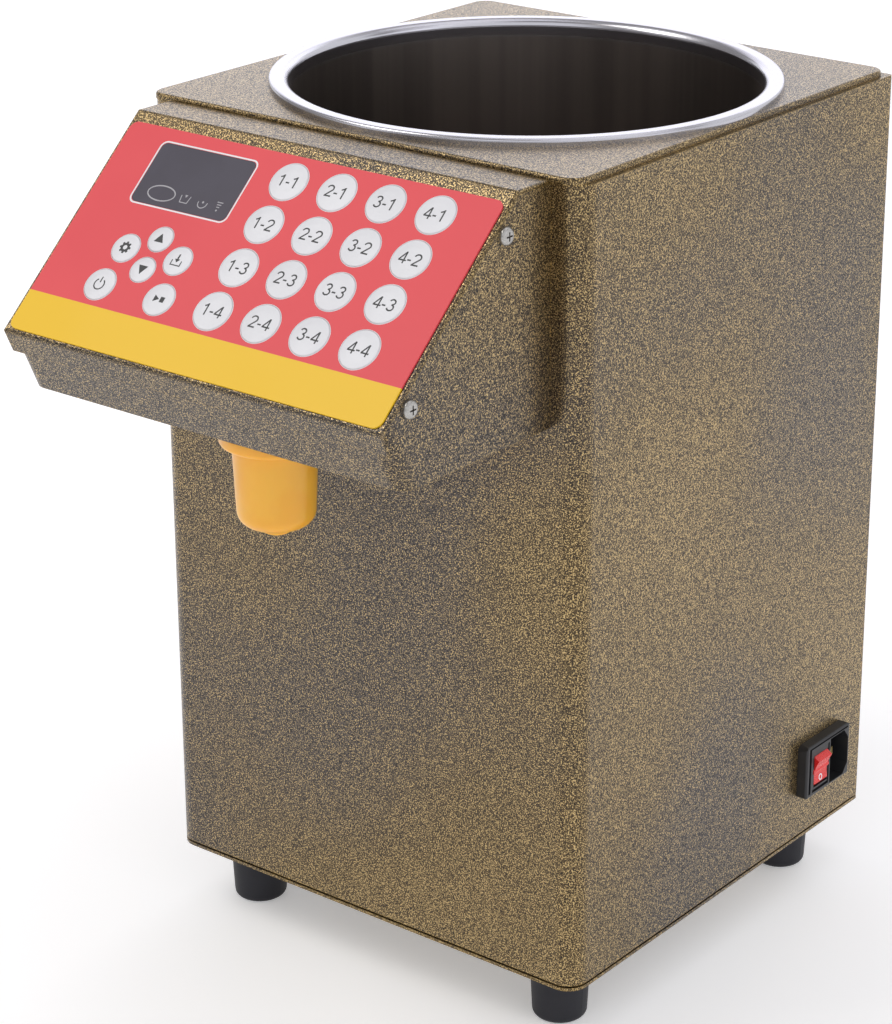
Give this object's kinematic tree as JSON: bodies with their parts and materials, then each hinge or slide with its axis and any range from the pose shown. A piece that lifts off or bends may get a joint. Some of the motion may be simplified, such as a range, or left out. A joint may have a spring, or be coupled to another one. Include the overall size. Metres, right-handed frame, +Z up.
{
  "type": "fructose dispenser",
  "caption": "Counter-top syrup dispenser: bronze sheet-metal cabinet with an open round tank in its top, a sloping keypad head with an amber nozzle, and a gear pump inside.",
  "frame": {"origin": "middle of the bounding box, on the surface the feet stand on", "axes": "+Z up; -Y the way the head and the nozzle point; +X the side with the mains inlet"},
  "size_m": [0.2476, 0.3504, 0.41],
  "materials": {
    "bronze_paint": "hammered bronze paint, fine dark and gold speckle, semi-gloss",
    "foot_rubber": "matt, blue-black",
    "screw_steel": "zinc plated",
    "tank_steel": "drawn stainless steel, polished rim, satin inside",
    "gasket_rubber": "matt",
    "hose_silicone": "milky, satin",
    "nozzle_plastic": "moulded, amber, slightly translucent",
    "pump_metal": "cast and machined",
    "gear_steel": "ground",
    "coupling_metal": "turned",
    "motor_paint": "black, satin",
    "bracket_zinc": "bright zinc",
    "supply_metal": "perforated case, plain",
    "inlet_plastic": "moulded, black, fine grain",
    "blade_brass": "plain",
    "rocker_plastic": "moulded, red",
    "overlay_film": "printed film, red with a yellow band along the lower edge, satin",
    "window_film": "smoked, glossy",
    "module_plastic": "plain",
    "board_laminate": "green, satin",
    "key_plastic": "near white, satin"
  },
  "bodies": {
    "cabinet": {"body_shell": "bronze_paint", "rear_panel": "bronze_paint", "top_plate": "bronze_paint", "base_plate": "bronze_paint", "feet": "foot_rubber", "foot_screws": "screw_steel", "chassis_screws": "screw_steel", "tank": "tank_steel", "tank_outlet": "tank_steel", "outlet_gasket": "gasket_rubber", "outlet_nut": "tank_steel", "suction_hose": "hose_silicone", "hose_clips": "screw_steel", "delivery_pipe": "hose_silicone", "nozzle": "nozzle_plastic", "pump_body": "pump_metal", "pump_cover": "pump_metal", "pump_screws": "screw_steel", "shaft_seal": "gasket_rubber", "motor": "motor_paint", "pump_bracket": "bracket_zinc", "power_supply": "supply_metal", "inlet_housing": "inlet_plastic", "inlet_blades": "blade_brass", "head_shell": "bronze_paint", "front_cover": "bronze_paint", "keypad_overlay": "overlay_film", "display_window": "window_film", "display_module": "module_plastic", "control_board": "board_laminate", "tact_switches": "module_plastic", "board_screws": "screw_steel"},
    "drive_rotor": {"drive_gear": "gear_steel", "drive_shaft": "gear_steel", "shaft_coupling": "coupling_metal", "motor_shaft": "gear_steel"},
    "driven_rotor": {"driven_gear": "gear_steel"},
    "rocker": {"rocker": "rocker_plastic"},
    "key_1_1": {"key_1_1": "key_plastic"},
    "key_1_2": {"key_1_2": "key_plastic"},
    "key_1_3": {"key_1_3": "key_plastic"},
    "key_1_4": {"key_1_4": "key_plastic"},
    "key_2_1": {"key_2_1": "key_plastic"},
    "key_2_2": {"key_2_2": "key_plastic"},
    "key_2_3": {"key_2_3": "key_plastic"},
    "key_2_4": {"key_2_4": "key_plastic"},
    "key_3_1": {"key_3_1": "key_plastic"},
    "key_3_2": {"key_3_2": "key_plastic"},
    "key_3_3": {"key_3_3": "key_plastic"},
    "key_3_4": {"key_3_4": "key_plastic"},
    "key_4_1": {"key_4_1": "key_plastic"},
    "key_4_2": {"key_4_2": "key_plastic"},
    "key_4_3": {"key_4_3": "key_plastic"},
    "key_4_4": {"key_4_4": "key_plastic"},
    "key_up": {"key_up": "key_plastic"},
    "key_down": {"key_down": "key_plastic"},
    "key_setup": {"key_setup": "key_plastic"},
    "key_storage": {"key_storage": "key_plastic"},
    "key_power": {"key_power": "key_plastic"},
    "key_run": {"key_run": "key_plastic"}
  },
  "joints": [
    {"name": "drive_spin", "type": "hinge", "parent": "cabinet", "child": "drive_rotor", "pos_m": [-0.0188, 0.00919, 0.103], "axis": [0, 1, 0], "continuous": true},
    {"name": "driven_spin", "type": "hinge", "parent": "cabinet", "child": "driven_rotor", "pos_m": [0.0112, 0.00919, 0.103], "axis": [0, 1, 0], "continuous": true},
    {"name": "rocker_tilt", "type": "hinge", "parent": "cabinet", "child": "rocker", "pos_m": [0.12029, 0.12959, 0.0678], "axis": [0, 1, 0], "range_deg": [-20, 0]},
    {"name": "key_1_1_press", "type": "slide", "parent": "cabinet", "child": "key_1_1", "axis": [0, 0.6717, -0.7408], "range_m": [0, 0.0005], "stiffness_N_per_m": 800},
    {"name": "key_1_2_press", "type": "slide", "parent": "cabinet", "child": "key_1_2", "axis": [0, 0.6717, -0.7408], "range_m": [0, 0.0005], "stiffness_N_per_m": 800},
    {"name": "key_1_3_press", "type": "slide", "parent": "cabinet", "child": "key_1_3", "axis": [0, 0.6717, -0.7408], "range_m": [0, 0.0005], "stiffness_N_per_m": 800},
    {"name": "key_1_4_press", "type": "slide", "parent": "cabinet", "child": "key_1_4", "axis": [0, 0.6717, -0.7408], "range_m": [0, 0.0005], "stiffness_N_per_m": 800},
    {"name": "key_2_1_press", "type": "slide", "parent": "cabinet", "child": "key_2_1", "axis": [0, 0.6717, -0.7408], "range_m": [0, 0.0005], "stiffness_N_per_m": 800},
    {"name": "key_2_2_press", "type": "slide", "parent": "cabinet", "child": "key_2_2", "axis": [0, 0.6717, -0.7408], "range_m": [0, 0.0005], "stiffness_N_per_m": 800},
    {"name": "key_2_3_press", "type": "slide", "parent": "cabinet", "child": "key_2_3", "axis": [0, 0.6717, -0.7408], "range_m": [0, 0.0005], "stiffness_N_per_m": 800},
    {"name": "key_2_4_press", "type": "slide", "parent": "cabinet", "child": "key_2_4", "axis": [0, 0.6717, -0.7408], "range_m": [0, 0.0005], "stiffness_N_per_m": 800},
    {"name": "key_3_1_press", "type": "slide", "parent": "cabinet", "child": "key_3_1", "axis": [0, 0.6717, -0.7408], "range_m": [0, 0.0005], "stiffness_N_per_m": 800},
    {"name": "key_3_2_press", "type": "slide", "parent": "cabinet", "child": "key_3_2", "axis": [0, 0.6717, -0.7408], "range_m": [0, 0.0005], "stiffness_N_per_m": 800},
    {"name": "key_3_3_press", "type": "slide", "parent": "cabinet", "child": "key_3_3", "axis": [0, 0.6717, -0.7408], "range_m": [0, 0.0005], "stiffness_N_per_m": 800},
    {"name": "key_3_4_press", "type": "slide", "parent": "cabinet", "child": "key_3_4", "axis": [0, 0.6717, -0.7408], "range_m": [0, 0.0005], "stiffness_N_per_m": 800},
    {"name": "key_4_1_press", "type": "slide", "parent": "cabinet", "child": "key_4_1", "axis": [0, 0.6717, -0.7408], "range_m": [0, 0.0005], "stiffness_N_per_m": 800},
    {"name": "key_4_2_press", "type": "slide", "parent": "cabinet", "child": "key_4_2", "axis": [0, 0.6717, -0.7408], "range_m": [0, 0.0005], "stiffness_N_per_m": 800},
    {"name": "key_4_3_press", "type": "slide", "parent": "cabinet", "child": "key_4_3", "axis": [0, 0.6717, -0.7408], "range_m": [0, 0.0005], "stiffness_N_per_m": 800},
    {"name": "key_4_4_press", "type": "slide", "parent": "cabinet", "child": "key_4_4", "axis": [0, 0.6717, -0.7408], "range_m": [0, 0.0005], "stiffness_N_per_m": 800},
    {"name": "key_up_press", "type": "slide", "parent": "cabinet", "child": "key_up", "axis": [0, 0.6717, -0.7408], "range_m": [0, 0.0005], "stiffness_N_per_m": 800},
    {"name": "key_down_press", "type": "slide", "parent": "cabinet", "child": "key_down", "axis": [0, 0.6717, -0.7408], "range_m": [0, 0.0005], "stiffness_N_per_m": 800},
    {"name": "key_setup_press", "type": "slide", "parent": "cabinet", "child": "key_setup", "axis": [0, 0.6717, -0.7408], "range_m": [0, 0.0005], "stiffness_N_per_m": 800},
    {"name": "key_storage_press", "type": "slide", "parent": "cabinet", "child": "key_storage", "axis": [0, 0.6717, -0.7408], "range_m": [0, 0.0005], "stiffness_N_per_m": 800},
    {"name": "key_power_press", "type": "slide", "parent": "cabinet", "child": "key_power", "axis": [0, 0.6717, -0.7408], "range_m": [0, 0.0005], "stiffness_N_per_m": 800},
    {"name": "key_run_press", "type": "slide", "parent": "cabinet", "child": "key_run", "axis": [0, 0.6717, -0.7408], "range_m": [0, 0.0005], "stiffness_N_per_m": 800}
  ],
  "couplings": [
    {"joint": "driven_spin", "follows": "drive_spin", "ratio": -1}
  ]
}
